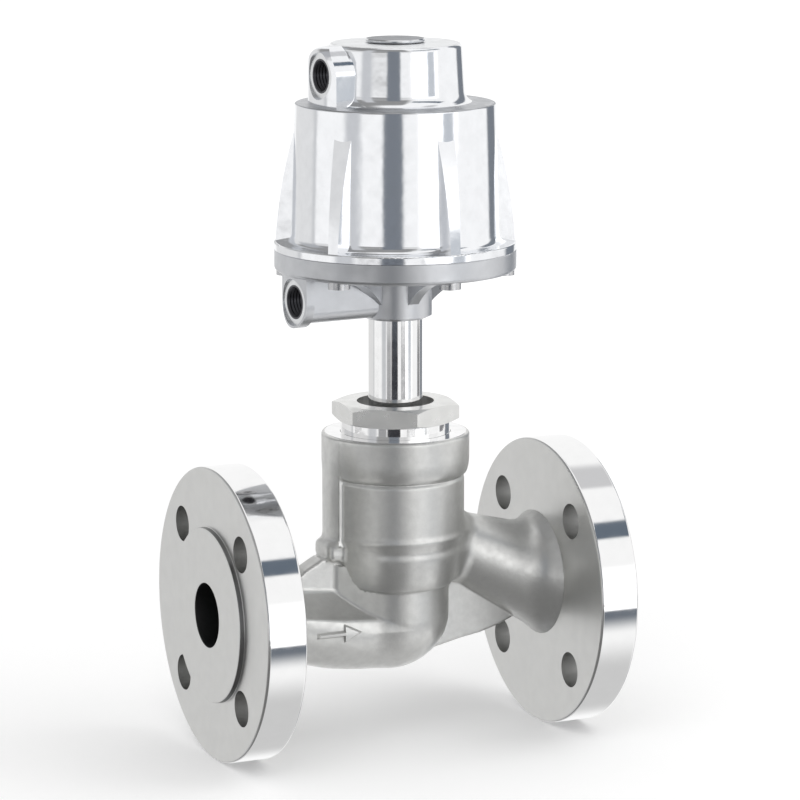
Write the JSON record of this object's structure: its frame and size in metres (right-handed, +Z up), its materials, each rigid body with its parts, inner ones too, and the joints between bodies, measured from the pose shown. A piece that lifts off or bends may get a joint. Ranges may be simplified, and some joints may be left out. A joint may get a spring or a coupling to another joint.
{
  "type": "pneumatic globe valve",
  "caption": "Flanged straight globe valve that air opens and springs close: cast body with an S-shaped passage, bonnet tube and ribbed piston actuator.",
  "frame": {"origin": "centre of the inlet flange's raised face", "axes": "+X along the pipe with the flow, from the inlet to the outlet; +Z up the stem towards the actuator; the stem's axis is at X = 0.080"},
  "size_m": [0.16, 0.115, 0.2772],
  "materials": {
    "cast_steel": "blasted stainless casting with machined flange faces",
    "turned_steel": "turned stainless steel",
    "satin_steel": "satin machined stainless steel",
    "polished_tube": "polished stainless steel",
    "graphite": "dark flat gasket",
    "ptfe": "white PTFE",
    "spring_steel": "drawn spring wire",
    "satin_base": "blasted stainless casting, pale",
    "polished_housing": "polished stainless casting",
    "seal_rubber": "black seal rubber",
    "screw_steel": "stainless fasteners",
    "piston_aluminium": "turned aluminium",
    "indicator_metal": "polished cap"
  },
  "bodies": {
    "valve": {"valve_body": "cast_steel", "seat_ring": "turned_steel", "body_gasket": "graphite", "bonnet_nut": "satin_steel"},
    "actuator": {"bonnet_tube": "polished_tube", "wiper_ring": "ptfe", "guide_bush": "ptfe", "packing_base_ring": "turned_steel", "packing_v_rings": "ptfe", "packing_washer": "turned_steel", "packing_spring": "spring_steel", "gland_bush": "ptfe", "actuator_base": "satin_base", "rod_seal": "seal_rubber", "stem_bush": "ptfe", "base_o_ring": "seal_rubber", "actuator_housing": "polished_housing", "indicator_o_ring": "seal_rubber", "outer_spring": "spring_steel", "inner_spring": "spring_steel", "base_screws": "screw_steel"},
    "stem": {"stem": "polished_tube", "plug": "turned_steel", "plug_seal": "ptfe", "plug_retainer": "turned_steel", "plug_nut": "screw_steel", "plug_pin": "screw_steel", "piston": "piston_aluminium", "piston_seal": "seal_rubber", "piston_guide_ring": "ptfe", "piston_o_ring": "seal_rubber", "piston_nut": "screw_steel", "indicator_rod": "turned_steel", "indicator_cap": "indicator_metal"}
  },
  "joints": [
    {"name": "actuator_swivel", "type": "hinge", "parent": "valve", "child": "actuator", "pos_m": [0.08, 0, 0.06], "axis": [0, 0, 1], "continuous": true},
    {"name": "stem_lift", "type": "slide", "parent": "actuator", "child": "stem", "axis": [0, 0, 1], "range_m": [0, 0.01], "stiffness_N_per_m": 16300, "springref_m": -0.025, "deforming": ["outer_spring", "inner_spring"]}
  ]
}
